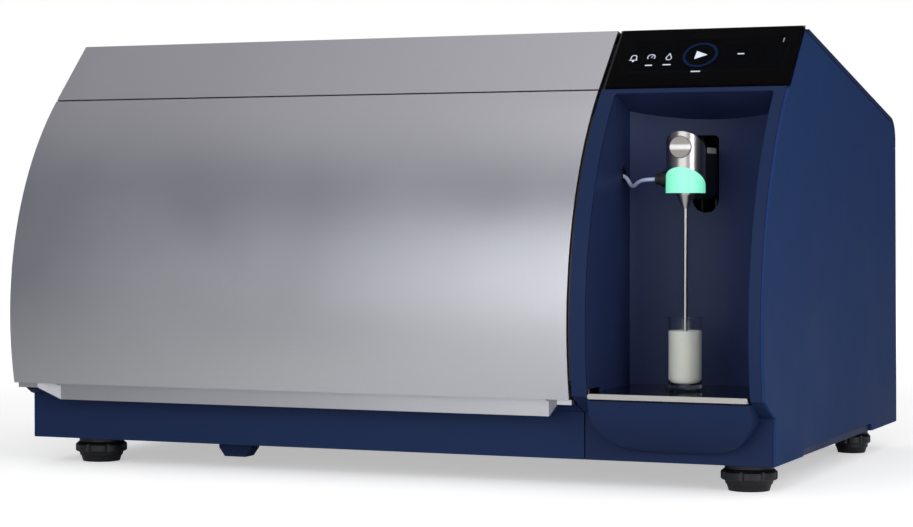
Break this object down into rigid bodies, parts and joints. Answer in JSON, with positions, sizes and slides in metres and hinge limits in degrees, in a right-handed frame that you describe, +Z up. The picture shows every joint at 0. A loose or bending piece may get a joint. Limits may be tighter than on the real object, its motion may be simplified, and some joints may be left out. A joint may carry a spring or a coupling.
{
  "type": "milk analyzer",
  "caption": "Bench-top milk analyzer: curved lift-up door, touch screen, and an open sample bay with a lit intake pipette over a sample vial.",
  "frame": {"origin": "on the bench, under the middle of the instrument's box", "axes": "+X to the instrument's right as seen from the front, +Y to the rear, +Z up"},
  "size_m": [0.85, 0.608, 0.4693],
  "materials": {
    "navy_plastic": "textured",
    "navy_paint": "satin",
    "frame_plastic": "satin",
    "silver_panel": "satin",
    "liner_plastic": "satin",
    "brushed_metal": "brushed",
    "machined_aluminium": "machined",
    "black_gloss": "gloss",
    "black_plastic": "moulded",
    "foot_rubber": "moulded",
    "screen_glass": "polished",
    "screen_panel": "lit",
    "ring_light": "lit",
    "vial_glass": "clear",
    "milk": "liquid",
    "hose_tube": "translucent",
    "galvanised_sheet": "galvanised",
    "circuit_board": "solder mask",
    "white_plastic": "moulded",
    "brass_fitting": "turned"
  },
  "bodies": {
    "instrument": {"side_panel_right": "navy_plastic", "side_panel_left": "navy_plastic", "top_cover": "navy_paint", "rear_panel": "galvanised_sheet", "mains_panel": "galvanised_sheet", "base_pan": "galvanised_sheet", "foot_bushings": "brass_fitting", "front_skid": "navy_plastic", "front_skirt": "navy_plastic", "module_front": "frame_plastic", "sample_bay_liner": "liner_plastic", "display_glass": "screen_glass", "display_screen": "screen_panel", "display_housing": "black_plastic", "upper_front_panel": "silver_panel", "hinge_brackets": "galvanised_sheet", "hinge_beam": "machined_aluminium", "module_partition": "galvanised_sheet", "inner_bulkhead": "galvanised_sheet", "hose_grommet": "black_plastic", "guide_rods": "brushed_metal", "rod_holders": "machined_aluminium", "lift_actuator": "black_plastic", "fan_housing": "black_plastic", "fan_guard": "brushed_metal", "power_inlet": "black_plastic", "port_block": "black_plastic", "waste_outlet": "white_plastic", "optics_bench": "machined_aluminium", "interferometer_block": "machined_aluminium", "power_supply": "machined_aluminium", "control_board": "circuit_board", "pump_body": "white_plastic", "peristaltic_housing": "white_plastic", "valve_block": "white_plastic"},
    "door": {"front_door": "silver_panel", "handle_rail": "silver_panel", "hinge_arms": "galvanised_sheet"},
    "stage": {"stage_tray": "brushed_metal", "stage_plate": "black_gloss"},
    "pipette": {"status_ring": "ring_light", "pipette_head": "brushed_metal", "head_cap": "brushed_metal", "nozzle_cone": "brushed_metal", "pipette_tube": "brushed_metal", "hose_fitting": "black_plastic", "pipette_carriage": "black_plastic", "actuator_rod": "brushed_metal", "intake_hose": "hose_tube"},
    "vial": {"sample_vial": "vial_glass", "milk_sample": "milk"},
    "front_right_foot": {"foot_front_right": "foot_rubber"},
    "front_left_foot": {"foot_front_left": "foot_rubber"},
    "rear_right_foot": {"foot_rear_right": "foot_rubber"},
    "rear_left_foot": {"foot_rear_left": "foot_rubber"},
    "cooling_fan": {"fan_rotor": "black_plastic"},
    "power_switch": {"power_rocker": "black_plastic"},
    "moving_mirror": {"mirror_carriage": "brushed_metal"},
    "sample_plunger": {"pump_plunger": "brushed_metal"},
    "waste_rotor": {"peristaltic_rotor": "black_plastic"}
  },
  "joints": [
    {"name": "door_hinge", "type": "hinge", "parent": "instrument", "child": "door", "pos_m": [-0.0983, -0.1695, 0.4252], "axis": [-1, 0, 0], "range_deg": [0, 75]},
    {"name": "stage_slide", "type": "slide", "parent": "instrument", "child": "stage", "axis": [0, -1, 0], "range_m": [0, 0.1]},
    {"name": "pipette_lift", "type": "slide", "parent": "instrument", "child": "pipette", "axis": [0, 0, 1], "range_m": [-0.01, 0.01], "deforming": ["intake_hose"]},
    {"name": "vial_lift", "type": "slide", "parent": "instrument", "child": "vial", "axis": [0, 0, 1], "range_m": [0, 0.02]},
    {"name": "front_right_foot_screw", "type": "slide", "parent": "instrument", "child": "front_right_foot", "axis": [0, 0, 1], "range_m": [-0.01, 0.001]},
    {"name": "front_left_foot_screw", "type": "slide", "parent": "instrument", "child": "front_left_foot", "axis": [0, 0, 1], "range_m": [-0.01, 0.001]},
    {"name": "rear_right_foot_screw", "type": "slide", "parent": "instrument", "child": "rear_right_foot", "axis": [0, 0, 1], "range_m": [-0.01, 0.001]},
    {"name": "rear_left_foot_screw", "type": "slide", "parent": "instrument", "child": "rear_left_foot", "axis": [0, 0, 1], "range_m": [-0.01, 0.001]},
    {"name": "fan_spin", "type": "hinge", "parent": "instrument", "child": "cooling_fan", "pos_m": [0.12, 0.2655, 0.208], "axis": [0, 1, 0], "continuous": true},
    {"name": "power_rocker_tilt", "type": "hinge", "parent": "instrument", "child": "power_switch", "pos_m": [0.29, 0.28, 0.1], "axis": [-1, 0, 0], "range_deg": [0, 18]},
    {"name": "mirror_slide", "type": "slide", "parent": "instrument", "child": "moving_mirror", "axis": [1, 0, 0], "range_m": [-0.004, 0.004]},
    {"name": "plunger_slide", "type": "slide", "parent": "instrument", "child": "sample_plunger", "axis": [1, 0, 0], "range_m": [-0.008, 0.008]},
    {"name": "waste_rotor_spin", "type": "hinge", "parent": "instrument", "child": "waste_rotor", "pos_m": [-0.25, -0.1235, 0.238], "axis": [0, 1, 0], "continuous": true}
  ]
}
